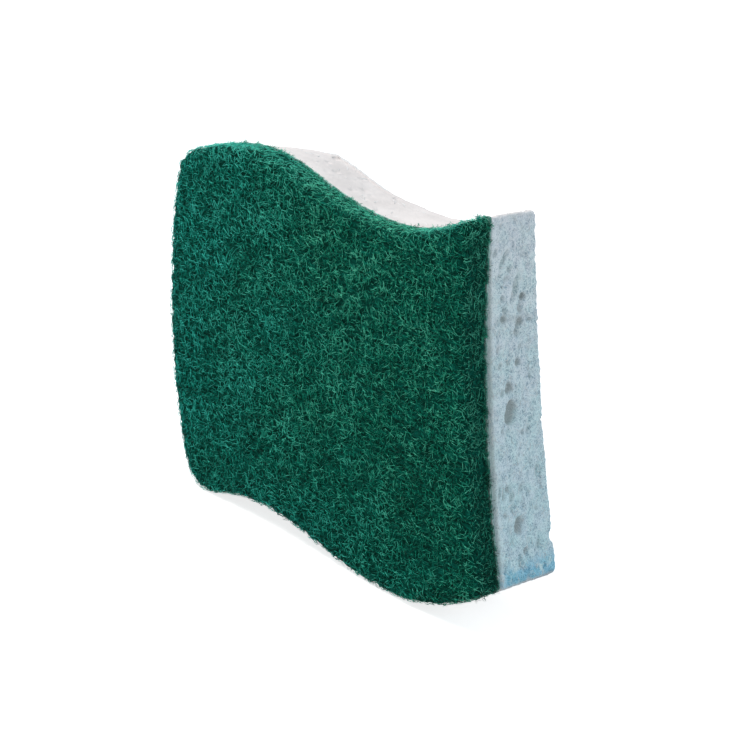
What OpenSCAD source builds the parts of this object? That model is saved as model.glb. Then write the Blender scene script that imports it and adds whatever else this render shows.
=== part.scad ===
// Laminated scrub sponge with wavy long edges, standing on its lower long edge.
// A green scouring pad is bonded to a block of white cellulose sponge.
// The outline is drawn flat, s along the length and t across the width,
// and is then stood up and leant until its lower edge touches the ground twice.

/* [Outline] */
// Length between the two ends, measured at the corners
body_length = 80; // [60:1:110]
// Width between the two wavy long edges
body_width = 75; // [55:1:95]
// Height of the wave from its middle line
wave_rise = 7.5; // [3:0.5:10]
// Length of one whole wave
wave_pitch = 101.5; // [85:0.5:130]
// Distance of the wave's crest from the left end
crest_inset = 12.5; // [8:0.5:20]
// How much fuller the upper edge is on the right flank of its crest
crest_fill = 0.9; // [0:0.1:2]
// How far the left end bows outwards at half height
left_bulge = 4.8; // [0:0.2:8]
// How far the right end of the cellulose bows inwards at half height
right_hollow = 0.8; // [0:0.2:4]
// How far the right end of the pad bows inwards at half height
pad_hollow = 2; // [0:0.2:4]
// Extra length of the pad at its lower right corner
pad_flare = 0.8; // [0:0.2:2]
// Extra length of the cellulose at its lower right corner
foot_flare = 1.6; // [0:0.2:4]
// Rounding of the lower left corner, which is worn soft
soft_corner = 9; // [2:0.5:12]
// Rounding of the upper left corner
upper_corner = 4; // [0.5:0.5:8]
// Rounding of the two right corners
cut_corner = 1.6; // [0.5:0.1:4]

/* [Layers] */
// Thickness of the scouring pad
pad_thickness = 6.5; // [4:0.5:10]
// Thickness of the adhesive film
film_thickness = 0.4; // [0.2:0.1:1]
// Thickness of the cellulose at its upper edge
sponge_thickness = 13.6; // [10:0.1:20]
// How much thicker the cellulose has swollen at its lower edge
foot_swell = 3.5; // [0:0.5:6]
// How far the crest of the cellulose drops towards its back
crest_drop = 2.2; // [0.5:0.1:4]

/* [Pores] */
// Spacing of the pores on the back of the cellulose
back_spacing = 6.2; // [5:0.2:9]
// Spacing of the pores on its ends and long edges
edge_spacing = 4.6; // [4:0.2:7]
// Radius of the smallest pore
pore_min = 0.55; // [0.4:0.05:0.8]
// Radius of the largest scattered pore on the back
back_pore_max = 1.8; // [1:0.1:2]
// Radius of the largest scattered pore on the ends and long edges
edge_pore_max = 1.1; // [0.8:0.05:1.3]
// Seed of the scatter
pore_seed = 41; // [1:1:99]

/* [Hidden] */
$fn = 48;

wave_steps = 26;
end_steps = 8;
corner_steps = 5;
reach = 4 * (body_length + body_width);

film_front = pad_thickness;
sponge_front = film_front + film_thickness;
sponge_back = sponge_front + sponge_thickness;
swell_angle = atan(foot_swell / body_width);
drop_angle = atan(crest_drop / sponge_thickness);

fill_middle = crest_inset + 14;
fill_half = 17;

// The wave, and the four sides of the outline
function wave(s) = wave_rise * cos(360 * (s - crest_inset) / wave_pitch);
function fill(s) = abs(s - fill_middle) < fill_half
    ? crest_fill * pow(cos(90 * (s - fill_middle) / fill_half), 2)
    : 0;
function lower(s) = [s, wave(s)];
function upper(s) = [s, body_width + wave(s) + fill(s)];
function left(u) = [-4 * left_bulge * u * (1 - u), wave(0) + u * body_width];
function right(u, flare, hollow) = [
    body_length - 4 * hollow * u * (1 - u) + flare * (1 - u) * (1 - u),
    wave(body_length) + u * body_width
];

// A corner rounded from point a to point b, which stay on their sides
function rounded(a, corner, b) = [
    for (k = [0:corner_steps]) let (u = k / corner_steps)
        (1 - u) * (1 - u) * a + 2 * u * (1 - u) * corner + u * u * b
];

soft_share = soft_corner / body_width;
upper_share = upper_corner / body_width;
cut_share = cut_corner / body_width;
lower_left = rounded(left(soft_share), lower(0), lower(soft_corner));

function lower_side(flare) = let (
        first = soft_corner,
        last = body_length + flare - cut_corner,
        step = (last - first) / wave_steps
    )
    [for (k = [1:wave_steps - 1]) lower(first + k * step)];

function upper_side() = let (
        first = body_length - cut_corner,
        last = upper_corner,
        step = (last - first) / wave_steps
    )
    [for (k = [1:wave_steps - 1]) upper(first + k * step)];

function right_side(flare, hollow) = [
    for (k = [1:end_steps - 1]) right(cut_share + k * (1 - 2 * cut_share) / end_steps, flare, hollow)
];

function left_side() = [
    for (k = [1:end_steps - 1]) left(1 - upper_share - k * (1 - upper_share - soft_share) / end_steps)
];

function outline(flare, hollow) = concat(
    lower_left,
    lower_side(flare),
    rounded(
        lower(body_length + flare - cut_corner), lower(body_length + flare), right(cut_share, flare, hollow)
    ),
    right_side(flare, hollow),
    rounded(right(1 - cut_share, flare, hollow), upper(body_length), upper(body_length - cut_corner)),
    upper_side(),
    rounded(upper(upper_corner), upper(0), left(1 - upper_share)),
    left_side()
);
pad_outline = outline(pad_flare, pad_hollow);
sponge_outline = outline(foot_flare, right_hollow);

// The line that touches both low places of the outline gives the angle of rest
rest_angle = max([
    for (q = lower_left) min([for (p = lower_side(pad_flare)) atan2(p.y - q.y, p.x - q.x)])
]);
function rested(p) = [
    p.x * cos(rest_angle) + p.y * sin(rest_angle),
    p.y * cos(rest_angle) - p.x * sin(rest_angle)
];
rested_points = [for (p = concat(pad_outline, sponge_outline)) rested(p)];
rested_x = [for (p = rested_points) p.x];
rested_z = [for (p = rested_points) p.y];
lowest_t = min([for (p = sponge_outline) p.y]);

// Depth of the swollen back at height t, and height of the crest's slope at depth y
function back_depth(t) = sponge_back + (body_width - t) * tan(swell_angle);
function crest_height(y) = body_width + wave_rise - (y - sponge_front) * tan(drop_angle);
deepest = back_depth(lowest_t);
ground = [(min(rested_x) + max(rested_x)) / 2, deepest / 2, min(rested_z)];

module stand() {
    translate(-ground) rotate([0, rest_angle, 0]) children();
}

// One layer, from depth y0 to depth y1
module layer(y0, y1, points) {
    rotate([90, 0, 0])
        translate([0, 0, -y1])
            linear_extrude(height = y1 - y0)
                polygon(points);
}

// Everything behind the swollen back of the cellulose
module behind_back() {
    translate([0, sponge_back, body_width])
        rotate([swell_angle, 0, 0])
            translate([-reach, 0, -reach])
                cube([2 * reach, reach, 2 * reach]);
}

// Everything above the slope on the crest of the cellulose
module above_crest() {
    translate([0, sponge_front, body_width + wave_rise])
        rotate([-drop_angle, 0, 0])
            translate([-reach, -reach, 0])
                cube([2 * reach, 2 * reach, reach]);
}

// Depth at a share of the cellulose's thickness, at height t
function depth_at(share, t) = sponge_front + share * (back_depth(t) - sponge_front);

// Points of the cellulose's five open faces, from two shares of each face
function on_right(a, b) = let (p = right(b, foot_flare, right_hollow)) [p.x, depth_at(a, p.y), p.y];
function on_left(a, b) = let (p = left(b)) [p.x, depth_at(a, p.y), p.y];
function on_lower(a, b) = let (p = lower(b * body_length)) [p.x, depth_at(a, p.y), p.y];
function on_upper(a, b) = let (p = upper(b * body_length), y = depth_at(a, p.y))
    [p.x, y, min(p.y, crest_height(y))];
function on_back(a, b) = let (s = a * body_length, t = wave(s) + b * body_width)
    [s, back_depth(t), t];

// A scatter over a face: each pore stays inside its own cell of the grid.
// A pore is its share of the face each way and its radius.
function scatter(columns, rows, cell, largest, seed) = let (
        noise = rands(0, 1, 3 * columns * rows, seed),
        loose = 1 - 2.2 * largest / cell
    )
    [for (i = [0:columns - 1], j = [0:rows - 1]) let (k = 3 * (i * rows + j)) [
        (i + 0.5 + (noise[k] - 0.5) * loose) / columns,
        (j + 0.5 + (noise[k + 1] - 0.5) * loose) / rows,
        pore_min + (largest - pore_min) * pow(noise[k + 2], 2)
    ]];

back_columns = round(body_length / back_spacing);
back_rows = round(body_width / back_spacing);
edge_columns = floor(sponge_thickness / edge_spacing + 0.5);
edge_rows = round(body_width / edge_spacing);
wave_rows = round(body_length / edge_spacing);

back_scatter = scatter(back_columns, back_rows, back_spacing, back_pore_max, pore_seed);
right_scatter = scatter(edge_columns, edge_rows, edge_spacing, edge_pore_max, pore_seed + 1);
left_scatter = scatter(edge_columns, edge_rows, edge_spacing, edge_pore_max, pore_seed + 2);
upper_scatter = scatter(edge_columns, wave_rows, edge_spacing, pore_min * 1.4, pore_seed + 3);
lower_scatter = scatter(edge_columns, wave_rows, edge_spacing, edge_pore_max, pore_seed + 4);

// The open pores that stand out on the right end, as a scatter's,
// with the length by which each is drawn out along the height
oval_pores = [
    [0.37, 0.47, 2.0, 1.6], [0.29, 0.42, 0.9, 0.4], [0.40, 0.165, 1.6, 1.0],
    [0.50, 0.262, 1.1, 0.5], [0.21, 0.325, 0.8, 1.4], [0.34, 0.325, 0.8, 1.2],
    [0.58, 0.69, 1.3, 1.6], [0.66, 0.755, 1.2, 2.0], [0.28, 0.73, 1.0, 1.6],
    [0.39, 0.835, 1.1, 1.8], [0.17, 0.825, 0.9, 0.8], [0.70, 0.41, 1.0, 0.6],
    [0.30, 0.215, 0.9, 0.8], [0.66, 0.215, 0.8, 0.8], [0.24, 0.125, 0.8, 0.6],
    [0.32, 0.59, 0.8, 1.4], [0.60, 0.635, 0.9, 0.4], [0.80, 0.56, 0.9, 0.8],
    [0.44, 0.92, 0.8, 0.6], [0.74, 0.10, 1.0, 0.8], [0.34, 0.535, 1.2, 0.8],
    [0.14, 0.64, 0.8, 0.6], [0.82, 0.30, 0.9, 0.8], [0.74, 0.88, 0.9, 0.8]
];

// Room between a pore of the scatter and the nearest of the oval ones
function room(p) = min([
    for (q = oval_pores)
        norm(on_right(p.x, p.y) - on_right(q.x, q.y)) - p[2] - q[2] - q[3] / 2
]);

module pore(place, radius) {
    translate(place) sphere(r = radius);
}

module oval_pore(place, radius, length) {
    pore(place + [0.2 * radius, 0.2 * length, 0.5 * length], radius);
    if (length > 0) pore(place + [0.2 * radius, -0.2 * length, -0.5 * length], radius);
}

module right_pores() {
    for (p = oval_pores) oval_pore(on_right(p.x, p.y), p[2], p[3]);
    for (p = right_scatter) if (room(p) > 0.3) pore(on_right(p.x, p.y), p[2]);
}

module pores() {
    right_pores();
    for (p = left_scatter) pore(on_left(p.x, p.y), p[2]);
    for (p = upper_scatter) pore(on_upper(p.x, p.y), p[2]);
    for (p = lower_scatter) pore(on_lower(p.x, p.y), p[2]);
    for (p = back_scatter) pore(on_back(p.x, p.y) + [0, 0.3 * p[2], 0], p[2]);
}

module cellulose_sponge() {
    color([0.86, 0.90, 0.93])
        stand()
            difference() {
                layer(sponge_front, deepest, sponge_outline);
                behind_back();
                above_crest();
                pores();
            }
}

module adhesive_film() {
    color([0.72, 0.84, 0.78]) stand() layer(film_front, sponge_front, pad_outline);
}

module scouring_pad() {
    color([0.02, 0.33, 0.25]) stand() layer(0, pad_thickness, pad_outline);
}

scouring_pad();
adhesive_film();
cellulose_sponge();
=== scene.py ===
import math

import bmesh
import bpy
import numpy as np
from mathutils import Matrix, Vector, noise
from mathutils.bvhtree import BVHTree


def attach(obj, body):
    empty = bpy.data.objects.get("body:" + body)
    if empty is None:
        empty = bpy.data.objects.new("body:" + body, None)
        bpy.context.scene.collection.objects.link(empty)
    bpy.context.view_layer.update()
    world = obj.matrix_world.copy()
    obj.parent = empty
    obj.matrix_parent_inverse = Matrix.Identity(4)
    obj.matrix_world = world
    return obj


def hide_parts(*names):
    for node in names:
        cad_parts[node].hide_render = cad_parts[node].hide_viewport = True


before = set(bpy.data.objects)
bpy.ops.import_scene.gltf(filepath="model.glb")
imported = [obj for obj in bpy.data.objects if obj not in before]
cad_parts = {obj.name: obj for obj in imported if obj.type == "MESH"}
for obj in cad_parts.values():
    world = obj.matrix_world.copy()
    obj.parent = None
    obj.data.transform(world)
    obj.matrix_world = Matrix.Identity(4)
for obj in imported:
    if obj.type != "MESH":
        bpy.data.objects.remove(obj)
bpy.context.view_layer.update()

MM = 0.001

# The sponge leans in its own plane; these run along its length and across its width
LEAN = math.radians(15.1)
ALONG = Vector((math.cos(LEAN), 0, math.sin(LEAN)))
ACROSS = Vector((-math.sin(LEAN), 0, math.cos(LEAN)))

# Camera: its place, and where it looks as turns round +Z, up or down, and about its own axis
CAMERA_PLACE = Vector((270.75, -333.26, 194.83)) * MM
CAMERA_AZIMUTH = math.radians(38.97)
CAMERA_ELEVATION = math.radians(20.02)
CAMERA_ROLL = math.radians(10.47)
CAMERA_LENS = 108.54
SENSOR_WIDTH = 36
CLIP_START = 0.01

# Room and lamps
FLOOR_HALF = 4.0
FLOOR_COLOUR = (0.6, 0.6, 0.6, 1)
FLOOR_GLOW = 0.78
FILL_COLOUR = (0.86, 0.94, 1.0, 1)
FILL_STRENGTH = 0.54
LAMP_TARGET = Vector((0, 0, 0.04))

# A pair of limits goes to step(), which is nought at the first and one at the second

# Cellulose: its mesh, and the upper long edge that is made even
CELLULOSE_VOXEL = 0.45 * MM
FINER_END = 25 * MM
END_NORMAL = 0.6
BROAD_ROUNDS = 50
CREST_ROUNDS = 60
CREST_UPWARD = (0.90, 0.97)
CREST_PLACE = (30 * MM, 20 * MM)
BONDED = (0.2, 0.7)
EVEN_GROUND = (0.90, 0.99)

# Cellulose: how the cut faces are told from the long edges
EDGE_MARGINS = (6.5, 3.5)
UPPER_EDGE_SHARE = 0.4
RAW_LIMITS = (-0.4 * MM, 0.8 * MM)
HOLLOW_LIMITS = (0.30 * MM, 1.3 * MM)
BOND_CLEARANCE = (0.6 * MM, 1.4 * MM)

# Cellulose: fine cells, wide hollows, and a slow waviness
CELL_SIZE = 1.5 * MM
CELL_STRETCH = 1.5
CELL_DEPTH = 0.55 * MM
CELL_WALL = (0.06, 0.38)
CELL_MARKS = (0.1, 1.0)
LEAST_CELL = 0.25
LEAST_AT_RIM = 0.25
CELL_SEED = 1
CELL_SHIFT = Vector((3.1, 5.7, 7.3))
CELL_WARP = 0.35
CELL_WARP_SCALE = 1.3
CELL_MARK_SCALE = 7.9
HOLLOW_SIZE = 4.2 * MM
HOLLOW_STRETCH = 1.3
HOLLOW_DEPTH = 0.30 * MM
HOLLOW_WALL = (0.1, 0.6)
HOLLOW_MARKS = (0.4, 1.0)
HOLLOW_SEED = 2
SKIN_RELIEF = 0.25
WANDER_SIZE = 9 * MM
WANDER_DEPTH = 0.10 * MM
WANDER_FRACTAL = (1.0, 2.0, 3)

# Cellulose: the flank beside the crest, sunk towards the back, and a chip on the right end's back edge
FLANK_MIDDLE = -15.5 * MM
FLANK_DEPTH = 1.0 * MM
FLANK_WIDTH = (16 * MM, 5 * MM)
FLANK_BACK = (-4 * MM, 8 * MM)
FLANK_UPWARD = (0.5, 0.8)
CHIP_HEIGHT = 17.3 * MM
CHIP_SIZE = 1.7 * MM
CHIP_DEPTH = 0.6 * MM
CHIP_FLOOR = 0.2

# Wide soft cells of the right end, in mm: y, place across, half width, half height, slant
SOFT_CELLS = [
    (-4.0, 63.2, 0.7, 0.9, 0.3), (-1.4, 61.8, 0.8, 2.0, 0.7), (-0.8, 57.8, 0.6, 0.6, 0),
    (2.4, 55.9, 1.1, 3.1, 0.35), (-1.9, 54.1, 0.7, 0.7, 0), (-2.7, 40.9, 0.5, 0.7, 0.3),
    (-2.3, 35.6, 0.8, 0.9, 0), (-2.5, 27.9, 0.5, 0.6, 0), (3.9, 26.8, 0.7, 0.8, 0),
    (-4.2, 15.8, 0.5, 1.7, 0.2), (-2.9, 15.5, 0.4, 1.6, 0.1), (-0.7, 14.5, 0.8, 1.2, 0.2),
    (-2.8, 11.1, 0.5, 0.7, 0), (6.9, 11.0, 0.6, 0.7, 0)
]
SOFT_DEPTH = 0.45 * MM
SOFT_END = (2.5 * MM, 1.0 * MM)
SOFT_INSIDE = (1.2, 0.5)
SOFT_RIM_INNER = (0.9, 1.2)
SOFT_RIM_OUTER = (1.8, 1.3)

# How much of the depth in each kind of cell its shader darkens as painted shade
CELL_DARKNESS = 0.7
SOFT_DARKNESS = 0.5

# Threads of the cellulose, and how many more of them lie on a face than on a long edge
THREADS = 1400
THREAD_RADIUS = 0.055 * MM
THREAD_RADII = (0.7, 1.3)
THREAD_LENGTHS = (0.7 * MM, 2.2 * MM)
THREAD_LEVELS = (-0.02, 0.07)
THREAD_LIFT = 0.05
THREAD_POINTS = 4
THREAD_SEED = 77
RIGHT_SHARE = 6.0
LEFT_SHARE = 2.0
BACK_SHARE = 0.6
LIP_SHARE = 14.0
LIP_WIDTH = 1.0 * MM
LIP_NORMAL = 0.5

# The hidden side that is bonded: how flat its faces are, and the bend that is evened out
BOND_FLATNESS = 0.98
BOND_BEND = 0.3

# Web of the scouring pad
PAD_VOXEL = 0.62 * MM
WEB_ROUNDING = 8
WEB_WORN = (1.5 * MM, 3.5 * MM)
WEB_BONDED = (0.3, 0.8)
WEB_SINK = 0.38 * MM
WEB_ROUGHNESS = 0.3 * MM
ROUGH_SIZE = 1.1 * MM
ROUGH_FRACTAL = (0.8, 2.1, 4)
PIT_SIZE = 2.4 * MM
PIT_DEPTH = 0.5 * MM
PIT_LIMITS = (0.15, 0.55)

# Fibres strewn over the web; levels and lift in mm
FIBRE_PIECES = 4
FIBRES_A_PIECE = 8700
FIBRE_RADIUS = 0.049 * MM
FIBRE_RADII = (0.75, 1.25)
FIBRE_LENGTHS = (0.6 * MM, 2.1 * MM)
FIBRE_LEVELS = (-0.38, 0.14)
FIBRE_LIFT = 0.4
FIBRE_SPILL = 0.16
FIBRE_POINTS = 4
FIBRE_SEED = 10
OPEN_NORMAL = 0.4
STREW_JITTER = 0.3
CURL = 0.22
LIFT_SPREAD = 0.06
LOOSE_BESIDE = 0.18
LOOSE_IN_FRONT = 0.12
LOOSE_LIFTS = (0.3, 1.0)
BESIDE_NORMAL = 0.5
SIDES = 3
END_TAPER = 0.55

# Bundles of fibres along the bond line; the jitter is in mm
TUFT_FIBRES = 1000
FIBRES_A_TUFT = 10
TUFT_REACH = 1.5 * MM
TUFT_LENGTH = 1.7 * MM
TUFT_LENGTHS = (0.7, 1.3)
TUFT_SIZES = (0.3, 0.75)
TUFT_SIZE_ON_TOP = 0.85
TUFT_LEAN = 0.5
TUFT_LEAN_OUT = (0.0, 0.2)
TUFT_LEAN_BACK = (0.6, 1.0)
TUFT_JITTER = 0.4
TUFT_SPREAD = 0.45
TUFT_CRIMP = 0.4
TUFT_DEPTH = -0.1 * MM
TUFT_SEED = 50

# What each fibre tells its shader: its own tone, and how high it lies, which gives painted shade to low
# fibres and painted light to upward ones
FIBRE_LOOK_SEED = 100
TONE_MIDDLE = 0.47
TONE_SPREAD = 0.24
# Painted highlights: a few fibres much paler than the rest
HIGHLIGHT_SHARE = 0.06
HIGHLIGHT_GAIN = 0.35
TUFT_TONE = 0.6
HIGH_START = 0.45
HIGH_SPAN = 0.75
UPWARD_LIGHT_GAIN = 0.25
HIGH_MOST = 1.3

# Colours
BLACK = (0.0, 0.0, 0.0)
WHITE = (1.0, 1.0, 1.0)
SKIN = ((0.35, (0.68, 0.645, 0.635)), (0.65, (0.75, 0.715, 0.705)))
# The raw cut is cooler than the skin, partly as painted bluish shade of the cut faces
RAW_CUT = ((0.36, (0.36, 0.46, 0.53)), (0.50, (0.52, 0.63, 0.68)), (0.64, (0.66, 0.75, 0.79)))
RAW_HUES = ((0.38, (1.02, 0.99, 1.01)), (0.50, WHITE), (0.62, (0.96, 1.01, 1.0)))
CELL_SHADE = (0.32, 0.42, 0.48)
WALL_COLOUR = (0.97, 1.0, 1.0)
GRAIN_COLOUR = (0.28, 0.38, 0.44)
GLINT_COLOUR = (0.96, 1.0, 1.0)
RIM_COLOUR = (0.92, 0.96, 0.98)
TOP_COLOUR = (0.84, 0.85, 0.90)
FOOT_TINT = (0.76, 0.94, 0.98)
# Painted blue light for the foot of the right end
BLUE_LIGHT_TINT = (0.38, 0.72, 0.88)
# Painted light for the shaded lip beside the bond line
LIP_PAINTED_LIGHT = (0.84, 0.92, 0.92)
# Painted blue light for the lip at the left end
LIP_BLUE_LIGHT = (0.20, 0.62, 0.62)
HOLLOW_SHADE = (0.34, 0.37, 0.36)
THREAD_COLOURS = ((0.35, (0.76, 0.82, 0.84)), (0.65, (0.90, 0.91, 0.91)))
FILM_COLOURS = ((0.42, (0.03, 0.20, 0.15)), (0.52, (0.24, 0.44, 0.39)), (0.62, (0.60, 0.70, 0.70)))
# Painted shade: the web core is much darker than the fibres of the same web
WEB_COLOURS = ((0.52, (0.000, 0.024, 0.016)), (0.66, (0.001, 0.080, 0.055)), (0.78, (0.006, 0.18, 0.125)))
# The palest fibre colour is a painted highlight
FIBRE_COLOURS = (
    (0.28, (0.000, 0.020, 0.014)), (0.48, (0.001, 0.132, 0.090)),
    (0.665, (0.008, 0.340, 0.236)), (0.87, (0.150, 0.72, 0.56))
)
FIBRE_HUES = ((0.10, (1.0, 1.03, 0.90)), (0.70, (0.50, 1.02, 1.08)))
FIBRE_GLOSS = (0.18, 0.9, 0.7, 1)
# Painted blue light for the fibres facing the left end
FIBRE_BLUE_LIGHT = (0.04, 0.48, 0.48)

# Heights where a colour of the cut faces starts and where it is full
FOOT_HEIGHTS = (80 * MM, 0.0)
TOP_HEIGHTS = (73 * MM, 81 * MM)
HEM_HEIGHTS = (12 * MM, 9 * MM)
BLUE_LIGHT_HEIGHTS = (15.5 * MM, 10 * MM)


# Node trees

def new_material(name):
    material = bpy.data.materials.new(name)
    material.use_nodes = True
    tree = material.node_tree
    tree.nodes.clear()
    output = tree.nodes.new("ShaderNodeOutputMaterial")
    shader = tree.nodes.new("ShaderNodeBsdfPrincipled")
    tree.links.new(shader.outputs[0], output.inputs["Surface"])
    return material, tree, shader


def add(tree, kind, **values):
    """A node with its settings; those it doesn't have are put on its sockets."""
    node = tree.nodes.new("ShaderNode" + kind)
    for key, value in values.items():
        if hasattr(node, key):
            setattr(node, key, value)
        else:
            node.inputs[key.replace("_", " ")].default_value = value
    return node


def ramp(tree, source, *stops):
    node = tree.nodes.new("ShaderNodeValToRGB")
    elements = node.color_ramp.elements
    while len(elements) < len(stops):
        elements.new(0.5)
    for element, (place, colour) in zip(elements, stops):
        element.position = place
        element.color = (*colour, 1)
    tree.links.new(source, node.inputs[0])
    return node.outputs[0]


def mix(tree, share, low, high, blend="MIX"):
    node = tree.nodes.new("ShaderNodeMix")
    node.data_type = "RGBA"
    node.blend_type = blend
    for socket, value in ((node.inputs[0], share), (node.inputs[6], low), (node.inputs[7], high)):
        if isinstance(value, bpy.types.NodeSocket):
            tree.links.new(value, socket)
        else:
            socket.default_value = value if isinstance(value, (int, float)) else (*value, 1)
    return node.outputs[2]


def maths(tree, operation, *values):
    node = tree.nodes.new("ShaderNodeMath")
    node.operation = operation
    for socket, value in zip(node.inputs, values):
        if isinstance(value, bpy.types.NodeSocket):
            tree.links.new(value, socket)
        else:
            socket.default_value = value
    return node.outputs[0]


def tinted(tree, colour, where, share, other):
    """The colour, with a share of another mixed in where a value is high."""
    return mix(tree, maths(tree, "MULTIPLY", where, share), colour, other)


def held(tree, value, most=1.0):
    """The value, held between nought and most."""
    return maths(tree, "MINIMUM", maths(tree, "MAXIMUM", value, 0.0), most)


def bump(tree, shader, height, distance, strength=1.0):
    node = tree.nodes.new("ShaderNodeBump")
    node.inputs["Strength"].default_value = strength
    node.inputs["Distance"].default_value = distance
    tree.links.new(height, node.inputs["Height"])
    tree.links.new(node.outputs[0], shader.inputs["Normal"])


def scaled(tree, place, scale, turn=(0, 0, 0)):
    mapping = tree.nodes.new("ShaderNodeMapping")
    mapping.inputs["Scale"].default_value = scale
    mapping.inputs["Rotation"].default_value = turn
    tree.links.new(place, mapping.inputs["Vector"])
    return mapping.outputs[0]


def object_place(tree, scale=(1, 1, 1), turn=(0, 0, 0)):
    place = tree.nodes.new("ShaderNodeTexCoord")
    return scaled(tree, place.outputs["Object"], scale, turn)


def axes(tree):
    """The place's X, Y and Z."""
    parts = tree.nodes.new("ShaderNodeSeparateXYZ")
    tree.links.new(object_place(tree), parts.inputs[0])
    return parts.outputs


def cloud(tree, place, scale, detail=2.0, roughness=0.5):
    node = add(tree, "TexNoise", Scale=scale, Detail=detail, Roughness=roughness)
    tree.links.new(place, node.inputs["Vector"])
    return node.outputs[0]


def bent_place(tree, place, scale, amount):
    """The place, pushed about by a noise."""
    push = add(tree, "TexNoise", Scale=scale, Detail=2.0)
    tree.links.new(place, push.inputs["Vector"])
    moved = tree.nodes.new("ShaderNodeVectorMath")
    moved.operation = "MULTIPLY_ADD"
    tree.links.new(push.outputs["Color"], moved.inputs[0])
    moved.inputs[1].default_value = (amount, amount, amount)
    tree.links.new(place, moved.inputs[2])
    return moved.outputs[0]


def wall_share(tree, place, scale, share):
    """One on the walls between cells and nought inside them, times a share."""
    node = add(tree, "TexVoronoi", Scale=scale)
    node.feature = "DISTANCE_TO_EDGE"
    tree.links.new(place, node.inputs["Vector"])
    wall = ramp(tree, node.outputs["Distance"], (0.03, WHITE), (0.13, BLACK))
    return maths(tree, "MULTIPLY", wall, share)


def height_share(tree, nought, one):
    """Nought at a height, and one at another."""
    share = maths(tree, "SUBTRACT", axes(tree)["Z"], nought)
    return held(tree, maths(tree, "DIVIDE", share, one - nought))


def attribute(tree, name):
    return add(tree, "Attribute", attribute_name=name).outputs["Fac"]


# Meshes

def lengthways(values):
    return values @ np.array(ALONG)


def crossways(values):
    return values @ np.array(ACROSS)


def remeshed(node, name, voxel):
    """A closed, even mesh of a CAD node, as a new object."""
    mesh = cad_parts[node].data.copy()
    mesh.name = name
    piece = bpy.data.objects.new(name, mesh)
    bpy.context.scene.collection.objects.link(piece)
    modifier = piece.modifiers.new("even", "REMESH")
    modifier.mode = "VOXEL"
    modifier.voxel_size = voxel
    evaluated = piece.evaluated_get(bpy.context.evaluated_depsgraph_get())
    even = bpy.data.meshes.new_from_object(evaluated)
    piece.modifiers.clear()
    piece.data = even
    even.name = name
    even.materials.clear()
    return piece


def points_of(mesh):
    co = np.empty(len(mesh.vertices) * 3, np.float32)
    mesh.vertices.foreach_get("co", co)
    return co.reshape(-1, 3).astype(float)


def normals_of(mesh):
    no = np.empty(len(mesh.vertices) * 3, np.float32)
    mesh.vertex_normals.foreach_get("vector", no)
    return no.reshape(-1, 3).astype(float)


def surface_of(mesh):
    return BVHTree.FromPolygons([v.co for v in mesh.vertices], [p.vertices for p in mesh.polygons])


def set_points(mesh, co):
    mesh.vertices.foreach_set("co", co.astype(np.float32).ravel())
    mesh.update()


def set_attribute(mesh, name, values):
    layer = mesh.attributes.new(name, "FLOAT", "POINT")
    layer.data.foreach_set("value", values.astype(np.float32))


def smooth(mesh):
    mesh.polygons.foreach_set("use_smooth", np.ones(len(mesh.polygons), bool))
    mesh.update()


def step(low, high, value):
    """Nought at the first limit and one at the second, with a soft change between them."""
    share = np.clip((value - low) / (high - low), 0, 1)
    return share * share * (3 - 2 * share)


def once(items):
    """Each item once, in the order of the first time it comes, which is the same each run."""
    return list(dict.fromkeys(items))


def finer(mesh, wanted):
    """Halves the edges of the faces whose centre and normal are wanted."""
    fine = bmesh.new()
    fine.from_mesh(mesh)
    faces = [f for f in fine.faces if wanted(f.calc_center_median(), f.normal)]
    edges = once(e for f in faces for e in f.edges)
    bmesh.ops.subdivide_edges(fine, edges=edges, cuts=1, use_grid_fill=True)
    bmesh.ops.triangulate(fine, faces=[f for f in fine.faces if len(f.verts) > 4])
    fine.to_mesh(mesh)
    fine.free()


def flatten_bond(mesh):
    """Leaves few faces on the flat side that is bonded and hidden."""
    plain = bmesh.new()
    plain.from_mesh(mesh)
    hidden = [f for f in plain.faces if f.normal.y < -BOND_FLATNESS]
    inner = once(v for f in hidden for v in f.verts)
    inner = [v for v in inner if all(f.normal.y < -BOND_FLATNESS for f in v.link_faces)]
    edges = once(e for v in inner for e in v.link_edges)
    bmesh.ops.dissolve_limit(
        plain, angle_limit=BOND_BEND, verts=inner, edges=edges, use_dissolve_boundaries=False
    )
    bmesh.ops.triangulate(plain, faces=[f for f in plain.faces if len(f.verts) > 4])
    plain.to_mesh(mesh)
    plain.free()


def averaged(mesh, values, rounds):
    """Values of the points, each averaged with its neighbours' a number of times."""
    ends = np.empty(len(mesh.edges) * 2, np.int32)
    mesh.edges.foreach_get("vertices", ends)
    ends = ends.reshape(-1, 2)
    count = np.bincount(ends.ravel(), minlength=len(values))[:, None] + 1.0
    for _ in range(rounds):
        total = values.copy()
        for axis in range(values.shape[1]):
            total[:, axis] += np.bincount(ends[:, 0], values[ends[:, 1], axis], len(values))
            total[:, axis] += np.bincount(ends[:, 1], values[ends[:, 0], axis], len(values))
        values = total / count
    return values


def cells(places, size, stretch, seed):
    """For each place, how far it lies from the walls of its cell, and a number that the cell has."""
    noise.seed_set(seed)
    shift = seed * CELL_SHIFT
    walls = np.empty(len(places))
    marks = np.empty(len(places))
    flat = np.column_stack([
        lengthways(places) / size,
        places[:, 1] / size,
        crossways(places) / (size * stretch)
    ])
    for k, place in enumerate(flat):
        place = Vector(place) + shift
        place += CELL_WARP * noise.noise_vector(place * CELL_WARP_SCALE)
        far, centres = noise.voronoi(place)
        walls[k] = far[1] - far[0]
        marks[k] = noise.cell(centres[0] * CELL_MARK_SCALE)
    return walls, marks


# Cellulose sponge

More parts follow.
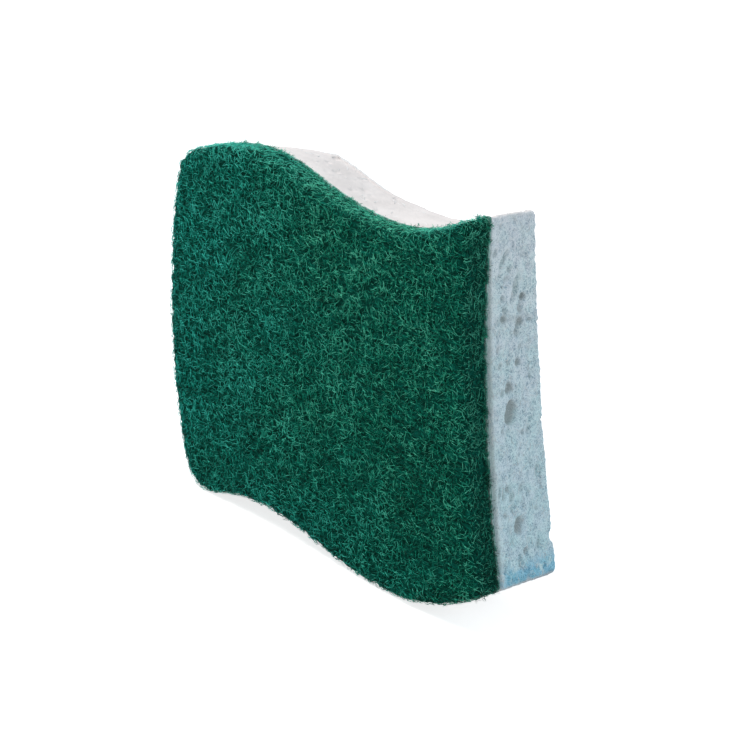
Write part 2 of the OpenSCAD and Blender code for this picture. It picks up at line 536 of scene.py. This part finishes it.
def depth_below(value, beside, margins=(0.0, 0.0)):
    """How far each value lies below the most beside it; the margins carry on the slope next to them."""
    beside = (beside - beside.min()) / MM
    most = np.full(int(beside.max()) + 1, -1.0)
    np.maximum.at(most, beside.astype(int), value)
    middles = np.arange(len(most)) + 0.5
    known = (middles >= margins[0]) & (middles <= len(most) - margins[1])
    middles, most = middles[known], most[known]
    inner = np.clip(beside, middles[0], middles[-1])
    slope = np.where(beside < inner, most[1] - most[0], most[-1] - most[-2])
    return np.interp(inner, middles, most) + slope * (beside - inner) - value


def rawness(places):
    """One near the cut ends and back and nought near the long edges; how hollow; how far from the ends."""
    along = lengthways(places)
    across = crossways(places)
    upper = UPPER_EDGE_SHARE * depth_below(across, along, EDGE_MARGINS)
    edge = np.minimum(upper, depth_below(-across, along, EDGE_MARGINS))
    end = np.minimum(depth_below(along, across), depth_below(-along, across))
    back = depth_below(places[:, 1], across)
    raw = step(*RAW_LIMITS, edge - np.minimum(end, back))
    hollow = step(*HOLLOW_LIMITS, np.minimum(end, back))
    hollow *= step(*BOND_CLEARANCE, places[:, 1] - places[:, 1].min())
    return raw, raw * hollow, end


def crest_evened(mesh, places, broad):
    """The points, with those on the upper long edge averaged, except near the right end."""
    share = step(*CREST_UPWARD, crossways(broad)) * step(*CREST_PLACE, places[:, 0])
    return places + share[:, None] * (averaged(mesh, places, CREST_ROUNDS) - places)


def fine_cells(places):
    """How deep each point lies in the fine cells, and in the wide hollows."""
    gaps, marks = cells(places, CELL_SIZE, CELL_STRETCH, CELL_SEED)
    deep = step(*CELL_WALL, gaps) * (LEAST_CELL + (1 - LEAST_CELL) * step(*CELL_MARKS, marks))
    wide_gaps, wide_marks = cells(places, HOLLOW_SIZE, HOLLOW_STRETCH, HOLLOW_SEED)
    wide = step(*HOLLOW_WALL, wide_gaps) * step(*HOLLOW_MARKS, wide_marks)
    return deep, wide


def chip_depth(places):
    """How far the chip sinks each point; it sits where the right end meets the back."""
    corner = lengthways(places) + places[:, 1] - 2 * abs(places[:, 2] - CHIP_HEIGHT)
    off = np.linalg.norm(places - places[corner.argmax()], axis=1)
    return CHIP_DEPTH * step(CHIP_SIZE, CHIP_FLOOR * CHIP_SIZE, off)


def flank_depth(places, broad):
    """How far each point of the upper edge sinks on the flank beside the crest, towards the back."""
    flank = step(*FLANK_WIDTH, abs(places[:, 0] - FLANK_MIDDLE)) * step(*FLANK_BACK, places[:, 1])
    return FLANK_DEPTH * flank * step(*FLANK_UPWARD, crossways(broad))


def soft_cells(places, end):
    """How deep each point lies in the soft cells of the right end, and how near their rims."""
    on_end = step(*SOFT_END, end) * (places[:, 0] > 0)
    across = crossways(places) / MM
    near = np.full(len(places), np.inf)
    for y, middle, half_width, half_height, slant in SOFT_CELLS:
        above = across - middle
        beside = places[:, 1] / MM - y - slant * above
        near = np.minimum(near, np.hypot(beside / half_width, above / half_height))
    rims = on_end * step(*SOFT_RIM_INNER, near) * step(*SOFT_RIM_OUTER, near)
    return on_end * step(*SOFT_INSIDE, near), rims


def make_cellulose():
    piece = remeshed("cellulose_sponge", "cellulose_block", CELLULOSE_VOXEL)
    mesh = piece.data
    finer(mesh, lambda centre, normal: normal.dot(ALONG) > END_NORMAL and centre.x > FINER_END)
    normals = normals_of(mesh)
    broad = averaged(mesh, normals, BROAD_ROUNDS)
    broad /= np.linalg.norm(broad, axis=1)[:, None]
    places = crest_evened(mesh, points_of(mesh), broad)
    cut, hollow, end = rawness(places)
    bonded = step(*BONDED, -normals[:, 1])
    even = step(*EVEN_GROUND, np.einsum("ij,ij->i", normals, broad))
    deep, wide = fine_cells(places)
    wander = np.array([noise.fractal(Vector(p) / WANDER_SIZE, *WANDER_FRACTAL) for p in places])
    soft, rims = soft_cells(places, end)

    relief = np.where(cut > 0.5, 1.0, SKIN_RELIEF) * (1 - bonded)
    sunk = relief * (CELL_DEPTH * deep + HOLLOW_DEPTH * wide) * (LEAST_AT_RIM + (1 - LEAST_AT_RIM) * even)
    sunk += WANDER_DEPTH * wander * (1 - bonded)
    sunk += chip_depth(places)
    sunk += flank_depth(places, broad)
    sunk += SOFT_DEPTH * soft
    set_points(mesh, places - normals * sunk[:, None])
    set_attribute(mesh, "deep", np.maximum(CELL_DARKNESS * deep, wide) * (1 - bonded))
    set_attribute(mesh, "cut", cut)
    set_attribute(mesh, "hollow", np.maximum(hollow, SOFT_DARKNESS * soft))
    set_attribute(mesh, "rims", rims)
    make_threads(mesh, end)
    flatten_bond(mesh)
    smooth(mesh)
    mesh.materials.append(cellulose_material())
    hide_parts("cellulose_sponge")
    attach(piece, "root")


def make_threads(mesh, end):
    """Short loose threads of the cellulose, thickest on the cut right end and on its lip."""
    areas = np.array([p.area for p in mesh.polygons])
    normals = np.array([p.normal for p in mesh.polygons])
    along = lengthways(normals)
    left_or_edge = np.where(along < -END_NORMAL, LEFT_SHARE, 1.0)
    share = np.where(along > END_NORMAL, RIGHT_SHARE, left_or_edge)
    share = np.where(normals[:, 1] > END_NORMAL, BACK_SHARE, share)
    lip = np.array([end[p.vertices[0]] < LIP_WIDTH and p.center.x > 0 for p in mesh.polygons])
    share = np.where(normals[:, 1] < -LIP_NORMAL, LIP_SHARE * lip, share)
    lines, _, outward = strew(
        surface_of(mesh), mesh, areas * share, THREADS, THREAD_POINTS,
        THREAD_LENGTHS, THREAD_LEVELS, THREAD_LIFT, THREAD_SEED
    )
    radii = THREAD_RADIUS * np.random.default_rng(THREAD_SEED + 1).uniform(*THREAD_RADII, THREADS)
    threads = tubes("cellulose_threads", lines, outward, radii)
    threads.materials.append(thread_material())
    piece = bpy.data.objects.new("cellulose_threads", threads)
    bpy.context.scene.collection.objects.link(piece)
    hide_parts("cellulose_sponge")
    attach(piece, "root")


def thread_material():
    material, tree, shader = new_material("threads")
    colour = ramp(tree, cloud(tree, object_place(tree), 900, 2), *THREAD_COLOURS)
    tree.links.new(colour, shader.inputs["Base Color"])
    shader.inputs["Roughness"].default_value = 0.7
    return material


def cellulose_material():
    material, tree, shader = new_material("cellulose")
    place = object_place(tree)
    tone = cloud(tree, place, 170, 3)
    raw = raw_cut(tree, place)
    # Painted blue light at the foot of the right end
    raw = with_blue_light(tree, place, raw)
    raw = with_lip_light(tree, tone, raw)
    colour = mix(tree, attribute(tree, "cut"), ramp(tree, tone, *SKIN), raw)
    # Painted shade: darker in the hollows and soft cells, by how deep they lie
    colour = tinted(tree, colour, attribute(tree, "hollow"), 0.8, HOLLOW_SHADE)
    tree.links.new(colour, shader.inputs["Base Color"])
    shader.inputs["Roughness"].default_value = 0.85
    shader.inputs["Specular IOR Level"].default_value = 0.2
    bump(tree, shader, cloud(tree, place, 2100, 3, 0.7), 0.2 * MM, 0.8)
    return material


def raw_cut(tree, place):
    """The raw cut: darker in its cells as painted shade, with pale walls round them, large, small and
    finest.
    """
    raw = ramp(tree, cloud(tree, scaled(tree, place, (1, 1, 0.6)), 420, 3, 0.6), *RAW_CUT)
    # Painted shade: darker where the fine cells and wide hollows are sunk
    raw = tinted(tree, raw, attribute(tree, "deep"), 0.75, CELL_SHADE)
    bent = scaled(tree, bent_place(tree, place, 1300, 0.6 * MM), (1, 1, 0.7))
    for size, share in ((1.7, 0.60), (0.95, 0.60), (0.5, 0.45)):
        raw = mix(tree, wall_share(tree, bent, 1000 / size, share), raw, WALL_COLOUR)
    specks = cloud(tree, place, 3600, 2, 0.7)
    grains = ramp(tree, specks, (0.34, WHITE), (0.47, BLACK))
    raw = tinted(tree, raw, grains, 0.70, GRAIN_COLOUR)
    glints = ramp(tree, specks, (0.51, BLACK), (0.60, WHITE))
    raw = tinted(tree, raw, glints, 0.8, GLINT_COLOUR)
    hue = ramp(tree, cloud(tree, place, 260, 2), *RAW_HUES)
    raw = mix(tree, 1.0, raw, hue, "MULTIPLY")
    raw = tinted(tree, raw, attribute(tree, "rims"), 0.5, RIM_COLOUR)
    raw = mix(tree, height_share(tree, *FOOT_HEIGHTS), raw, FOOT_TINT, "MULTIPLY")
    return tinted(tree, raw, height_share(tree, *TOP_HEIGHTS), 0.35, TOP_COLOUR)


def with_blue_light(tree, place, raw):
    """Painted blue light at the foot of the right end, in patches over a full hem."""
    blue_light = ramp(tree, cloud(tree, place, 500, 2), (0.36, BLACK), (0.56, WHITE))
    blue_light = maths(tree, "MULTIPLY", blue_light, height_share(tree, *BLUE_LIGHT_HEIGHTS))
    blue_light = maths(tree, "MULTIPLY_ADD", height_share(tree, *HEM_HEIGHTS), 0.5, blue_light)
    rightmost = held(tree, maths(tree, "MULTIPLY_ADD", axes(tree)["X"], 260.0, -11.0), 1.5)
    blue_light = maths(tree, "MULTIPLY", blue_light, rightmost)
    return mix(tree, maths(tree, "MINIMUM", blue_light, 0.8), raw, BLUE_LIGHT_TINT, "MULTIPLY")


def with_lip_light(tree, tone, raw):
    """The lip beside the bond line gets painted light against its shade, and at the left end painted blue
    light.
    """
    lip = held(tree, maths(tree, "MULTIPLY_ADD", axes(tree)["Y"], -900.0, -3.2))
    # Painted light: the lip is made paler where it lies in shade
    raw = tinted(tree, raw, lip, 0.28, LIP_PAINTED_LIGHT)
    # Painted blue light on the lip at the left end, in patches
    blue_at_left = held(tree, maths(tree, "MULTIPLY_ADD", axes(tree)["X"], -180.0, -6.6))
    patches = ramp(tree, tone, (0.40, (0.2, 0.2, 0.2)), (0.60, (0.8, 0.8, 0.8)))
    blue_at_left = maths(tree, "MULTIPLY", blue_at_left, patches)
    return mix(tree, maths(tree, "MULTIPLY", blue_at_left, lip), raw, LIP_BLUE_LIGHT)


# Adhesive film

def dress_film():
    material, tree, shader = new_material("adhesive")
    tone = cloud(tree, object_place(tree), 750, 3, 0.7)
    tree.links.new(ramp(tree, tone, *FILM_COLOURS), shader.inputs["Base Color"])
    shader.inputs["Roughness"].default_value = 0.6
    bump(tree, shader, tone, 0.1 * MM)
    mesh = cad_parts["adhesive_film"].data
    mesh.materials.clear()
    mesh.materials.append(material)


# Scouring pad

def make_web():
    """The inside of the pad's web: a rough, dark surface just below the outermost fibres, its darkness
    painted shade of the deeper web.
    """
    piece = remeshed("scouring_pad", "web_core", PAD_VOXEL)
    mesh = piece.data
    places = points_of(mesh)
    worn = step(*WEB_WORN, places[:, 1].max() - places[:, 1])[:, None]
    places += worn * (averaged(mesh, places, WEB_ROUNDING) - places)
    set_points(mesh, places)
    normals = normals_of(mesh)
    outer = surface_of(mesh)
    bonded = step(*WEB_BONDED, normals[:, 1])
    rough = np.array([noise.fractal(Vector(p) / ROUGH_SIZE, *ROUGH_FRACTAL) for p in places])
    pits = np.array([noise.noise(Vector(p) / PIT_SIZE) for p in places])
    sunk = WEB_SINK + WEB_ROUGHNESS * rough + PIT_DEPTH * step(*PIT_LIMITS, pits)
    set_points(mesh, places - normals * (sunk * (1 - bonded))[:, None])
    smooth(mesh)
    mesh.materials.append(web_material())
    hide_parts("scouring_pad")
    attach(piece, "root")
    return mesh, outer


def web_material():
    """Dark strands that run four ways, their darkness painted shade of the deeper web."""
    material, tree, shader = new_material("web_core")
    strands = None
    for turn, scale in ((0.2, 1900), (1.1, 2200), (1.9, 2000), (2.6, 2400)):
        place = object_place(tree, (0.16, 1, 1), (0, turn, 0.3 * turn))
        strand = cloud(tree, place, scale, 1.5, 0.5)
        strands = strand if strands is None else maths(tree, "MAXIMUM", strands, strand)
    tree.links.new(ramp(tree, strands, *WEB_COLOURS), shader.inputs["Base Color"])
    shader.inputs["Roughness"].default_value = 0.8
    shader.inputs["Specular IOR Level"].default_value = 0.05
    bump(tree, shader, strands, 0.25 * MM)
    return material


def strew(surface, mesh, weights, count, points, lengths, levels, loose_lift, seed, spill=0.0):
    """Centre lines of crimped fibres strewn over a surface, their heights and the way out at each point."""
    chance = np.random.default_rng(seed)
    chosen = chance.choice(len(weights), count, p=weights / weights.sum())
    lines = np.empty((count, points, 3))
    heights = np.empty((count, points))
    outward = np.empty((count, points, 3))
    front = min(v.co.y for v in mesh.vertices)
    for k, face in enumerate(chosen):
        place = mesh.polygons[face].center.copy()
        place += Vector(chance.uniform(-STREW_JITTER, STREW_JITTER, 3)) * MM
        way = Vector(chance.normal(size=3))
        length = chance.uniform(*lengths)
        level = chance.uniform(*levels) * MM
        curl = chance.normal(0, CURL)
        beside = abs(mesh.polygons[face].normal.y) < BESIDE_NORMAL
        loose = chance.random() < (LOOSE_BESIDE if beside else LOOSE_IN_FRONT)
        reach = 1 + spill * chance.random() ** 2
        for j in range(points):
            foot, normal, _, _ = surface.find_nearest(place)
            lift = level + chance.normal(0, LIFT_SPREAD) * MM
            if loose and j >= points - 2:
                lift += chance.uniform(*LOOSE_LIFTS) * loose_lift * (j + 3 - points) / 2 * MM
            heights[k, j] = lift
            lines[k, j] = foot + normal * lift
            if abs(normal.y) < BESIDE_NORMAL:
                lines[k, j, 1] = front + (lines[k, j, 1] - front) * reach
            outward[k, j] = normal
            way = (way - normal * way.dot(normal)).normalized()
            way = Matrix.Rotation(curl + chance.normal(0, CURL), 3, normal) @ way
            place = foot + way * (length / (points - 1))
    return lines, heights, outward


def tufts(surface, mesh, count, points, seed):
    """Centre lines of small bundles of fibres along the bond line, which lean out over the cellulose."""
    chance = np.random.default_rng(seed)
    bond = max(v.co.y for v in mesh.vertices)
    beside = [p for p in mesh.polygons if abs(p.normal.y) < BESIDE_NORMAL]
    rim = [p for p in beside if p.center.y > bond - TUFT_REACH]
    chosen = chance.choice(len(rim), count // FIBRES_A_TUFT + 1)
    lines = np.empty((count, points, 3))
    outward = np.empty((count, points, 3))
    for k in range(count):
        if k % FIBRES_A_TUFT == 0:
            base, normal, _, _ = surface.find_nearest(rim[chosen[k // FIBRES_A_TUFT]].center)
            lean = Vector(chance.uniform(-TUFT_LEAN, TUFT_LEAN, 3))
            lean += normal * (chance.uniform(*TUFT_LEAN_OUT) - lean.dot(normal))
            lean.y = chance.uniform(*TUFT_LEAN_BACK)
            size = chance.uniform(*TUFT_SIZES) * (TUFT_SIZE_ON_TOP if normal.z > 0.5 else 1.0)
        place = base + Vector(chance.uniform(-TUFT_JITTER, TUFT_JITTER, 3)) * MM
        way = (lean + TUFT_SPREAD * Vector(chance.normal(size=3))).normalized()
        for j in range(points):
            lines[k, j] = place
            outward[k, j] = normal
            way = (way + TUFT_CRIMP * Vector(chance.normal(size=3))).normalized()
            place = place + way * (chance.uniform(*TUFT_LENGTHS) * size * TUFT_LENGTH / (points - 1))
    return lines, np.full((count, points), TUFT_DEPTH), outward


def tubes(name, lines, outward, radii):
    """One mesh of closed tubes along the centre lines."""
    count, points, _ = lines.shape
    ahead = np.gradient(lines, axis=1)
    ahead /= np.linalg.norm(ahead, axis=2, keepdims=True) + 1e-12
    side = np.cross(ahead, outward)
    side /= np.linalg.norm(side, axis=2, keepdims=True) + 1e-12
    up = np.cross(side, ahead)
    taper = np.ones(points)
    taper[0] = taper[-1] = END_TAPER
    angles = 2 * math.pi * np.arange(SIDES) / SIDES + math.pi / 2
    ring = (
        side[:, :, None] * np.cos(angles)[None, None, :, None]
        + up[:, :, None] * np.sin(angles)[None, None, :, None]
    )
    places = lines[:, :, None] + ring * (radii[:, None] * taper)[:, :, None, None]
    first = np.arange(count)[:, None, None] * points * SIDES
    ring_start = first + np.arange(points - 1)[None, :, None] * SIDES
    here = np.arange(SIDES)[None, None]
    beside = (here + 1) % SIDES
    quads = np.stack([
        ring_start + here, ring_start + beside,
        ring_start + SIDES + beside, ring_start + SIDES + here
    ], axis=-1).reshape(-1, 4)
    starts = (first[:, 0] + np.arange(SIDES)[::-1]).reshape(-1, SIDES)
    ends = (first[:, 0] + (points - 1) * SIDES + np.arange(SIDES)).reshape(-1, SIDES)
    mesh = bpy.data.meshes.new(name)
    mesh.from_pydata(
        places.reshape(-1, 3).tolist(), [],
        quads.tolist() + starts.tolist() + ends.tolist()
    )
    smooth(mesh)
    return mesh


def fibre_tones(chance):
    """A tone for each fibre of a piece, with a few bright ones as painted highlights, and darker bundles."""
    tones = np.clip(chance.normal(TONE_MIDDLE, TONE_SPREAD, FIBRES_A_PIECE), 0, 1)
    tones += HIGHLIGHT_GAIN * (chance.random(FIBRES_A_PIECE) < HIGHLIGHT_SHARE)
    tones[:TUFT_FIBRES] *= TUFT_TONE
    return tones


def make_fibres(outer, mesh):
    """The strewn fibres and the bundles, in a few pieces; each piece starts with its bundles."""
    material = fibre_material()
    open_faces = np.array([p.area * (p.normal.y < OPEN_NORMAL) for p in mesh.polygons])
    for number in range(FIBRE_PIECES):
        fringe = tufts(outer, mesh, TUFT_FIBRES, FIBRE_POINTS, TUFT_SEED + number)
        strewn = strew(
            outer, mesh, open_faces, FIBRES_A_PIECE - TUFT_FIBRES, FIBRE_POINTS,
            FIBRE_LENGTHS, FIBRE_LEVELS, FIBRE_LIFT, FIBRE_SEED + number, FIBRE_SPILL
        )
        lines, heights, outward = [np.concatenate(pair) for pair in zip(fringe, strewn)]
        lines[:, :, 2] = np.maximum(lines[:, :, 2], 2 * FIBRE_RADIUS)
        chance = np.random.default_rng(FIBRE_LOOK_SEED + number)
        radii = FIBRE_RADIUS * chance.uniform(*FIBRE_RADII, FIBRES_A_PIECE)
        fibres = tubes(f"fibres_{number + 1}", lines, outward, radii)
        set_attribute(fibres, "tone", np.repeat(fibre_tones(chance), FIBRE_POINTS * SIDES))
        # Painted shade for low fibres and painted light for fibres facing up
        high = (heights / MM + HIGH_START) / HIGH_SPAN
        high = np.clip(high + UPWARD_LIGHT_GAIN * np.clip(outward[:, :, 2], 0, 1), 0, HIGH_MOST)
        set_attribute(fibres, "high", np.repeat(high.ravel(), SIDES))
        ahead = np.repeat(lengthways(outward).ravel(), SIDES)
        set_attribute(fibres, "right", np.clip(ahead, 0, 1))
        set_attribute(fibres, "left", np.sqrt(np.clip(-ahead, 0, 1)))
        fibres.materials.append(material)
        piece = bpy.data.objects.new(fibres.name, fibres)
        bpy.context.scene.collection.objects.link(piece)
        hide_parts("scouring_pad")
        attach(piece, "root")


def fibre_material():
    """Fibres are paler where they lie high (painted shade low down, painted light on upward ones), in
    patches, and towards the upper left as painted light; the right end is dim with painted shade, and fibres
    facing the left end take painted blue light.
    """
    material, tree, shader = new_material("fibres")
    place = object_place(tree)
    parts = axes(tree)
    right = attribute(tree, "right")
    level = maths(tree, "MULTIPLY", attribute(tree, "high"), 0.30)
    # Painted light: the level rises towards the upper left, through X and Z
    terms = (
        (attribute(tree, "tone"), 0.50),
        (cloud(tree, place, 300, 3, 0.6), 0.60),
        (cloud(tree, place, 85, 2), 0.35),
        # Grain along the strands, partly painted glints
        (cloud(tree, place, 2800, 1.5, 0.5), 1.00),
        (parts["X"], -1.15),
        (parts["Z"], 0.7)
    )
    for term, share in terms:
        level = maths(tree, "MULTIPLY_ADD", term, share, level)
    level = maths(tree, "SUBTRACT", level, 0.798)
    sharper = maths(tree, "MULTIPLY", maths(tree, "SUBTRACT", level, 0.50), 0.9)
    level = maths(tree, "MULTIPLY_ADD", sharper, right, level)
    colour = ramp(tree, level, *FIBRE_COLOURS)
    teal = maths(tree, "MULTIPLY_ADD", parts["X"], -9.0, cloud(tree, place, 45, 2))
    teal = maths(tree, "MULTIPLY_ADD", parts["Z"], -6.0, teal)
    colour = mix(tree, 1.0, colour, ramp(tree, teal, *FIBRE_HUES), "MULTIPLY")
    # Painted shade on the fibres of the right end
    end_shade = maths(tree, "MULTIPLY_ADD", right, -0.28, 1.0)
    colour = mix(tree, 1.0, colour, end_shade, "MULTIPLY")
    # Painted blue light on the fibres facing the left end
    colour = tinted(tree, colour, attribute(tree, "left"), 0.5, FIBRE_BLUE_LIGHT)
    tree.links.new(colour, shader.inputs["Base Color"])
    shader.inputs["Roughness"].default_value = 0.38
    shader.inputs["Specular IOR Level"].default_value = 0.5
    shader.inputs["Specular Tint"].default_value = FIBRE_GLOSS
    bump(tree, shader, cloud(tree, place, 5000, 2), 0.05 * MM, 0.6)
    return material


# Room, lamps and camera

def white_to_camera(tree, strength):
    """A strength that only the camera, gloss and glass see."""
    rays = tree.nodes.new("ShaderNodeLightPath")
    seen = maths(tree, "ADD", rays.outputs["Is Camera Ray"], rays.outputs["Is Glossy Ray"])
    seen = maths(tree, "ADD", seen, rays.outputs["Is Transmission Ray"])
    return maths(tree, "MULTIPLY", maths(tree, "MINIMUM", seen, 1.0), strength)


def make_floor():
    mesh = bpy.data.meshes.new("floor")
    half = FLOOR_HALF
    corners = [(-half, -half, 0), (half, -half, 0), (half, half, 0), (-half, half, 0)]
    mesh.from_pydata(corners, [], [(0, 1, 2, 3)])
    floor = bpy.data.objects.new("floor", mesh)
    bpy.context.scene.collection.objects.link(floor)
    material, tree, shader = new_material("floor")
    shader.inputs["Base Color"].default_value = FLOOR_COLOUR
    shader.inputs["Roughness"].default_value = 1.0
    shader.inputs["Specular IOR Level"].default_value = 0.0
    shader.inputs["Emission Color"].default_value = (1, 1, 1, 1)
    tree.links.new(white_to_camera(tree, FLOOR_GLOW), shader.inputs["Emission Strength"])
    mesh.materials.append(material)


def make_world():
    """A soft cool fill, which the camera sees as white."""
    world = bpy.data.worlds.new("room")
    world.use_nodes = True
    bpy.context.scene.world = world
    tree = world.node_tree
    tree.nodes.clear()
    output = tree.nodes.new("ShaderNodeOutputWorld")
    fill = tree.nodes.new("ShaderNodeBackground")
    fill.inputs["Color"].default_value = FILL_COLOUR
    fill.inputs["Strength"].default_value = FILL_STRENGTH
    white = tree.nodes.new("ShaderNodeBackground")
    white.inputs["Color"].default_value = (1, 1, 1, 1)
    blend = tree.nodes.new("ShaderNodeMixShader")
    tree.links.new(white_to_camera(tree, 1.0), blend.inputs[0])
    tree.links.new(fill.outputs[0], blend.inputs[1])
    tree.links.new(white.outputs[0], blend.inputs[2])
    tree.links.new(blend.outputs[0], output.inputs["Surface"])


def make_lamp(name, place, size, power, colour):
    lamp = bpy.data.lights.new(name, "AREA")
    lamp.size = size
    lamp.energy = power
    lamp.color = colour
    stand = bpy.data.objects.new(name, lamp)
    stand.location = place
    stand.rotation_euler = (LAMP_TARGET - Vector(place)).to_track_quat("-Z", "Y").to_euler()
    bpy.context.scene.collection.objects.link(stand)


def make_camera():
    lens = bpy.data.cameras.new("camera")
    lens.lens = CAMERA_LENS
    lens.sensor_width = SENSOR_WIDTH
    lens.clip_start = CLIP_START
    camera = bpy.data.objects.new("camera", lens)
    turn = Matrix.Rotation(CAMERA_AZIMUTH, 4, "Z")
    tilt = Matrix.Rotation(math.pi / 2 - CAMERA_ELEVATION, 4, "X")
    roll = Matrix.Rotation(CAMERA_ROLL, 4, "Z")
    camera.matrix_world = Matrix.Translation(CAMERA_PLACE) @ turn @ tilt @ roll
    bpy.context.scene.collection.objects.link(camera)
    bpy.context.scene.camera = camera


bpy.context.scene.view_settings.view_transform = "Standard"
make_camera()
make_world()
make_floor()
make_lamp("key", place=(-0.32, -0.28, 0.62), size=0.28, power=4.2, colour=(1.0, 0.95, 0.92))
make_lamp("side", place=(0.55, 0.22, 0.42), size=0.20, power=0.7, colour=(0.66, 0.88, 1.0))

make_cellulose()
dress_film()
web, web_surface = make_web()
make_fibres(web_surface, web)
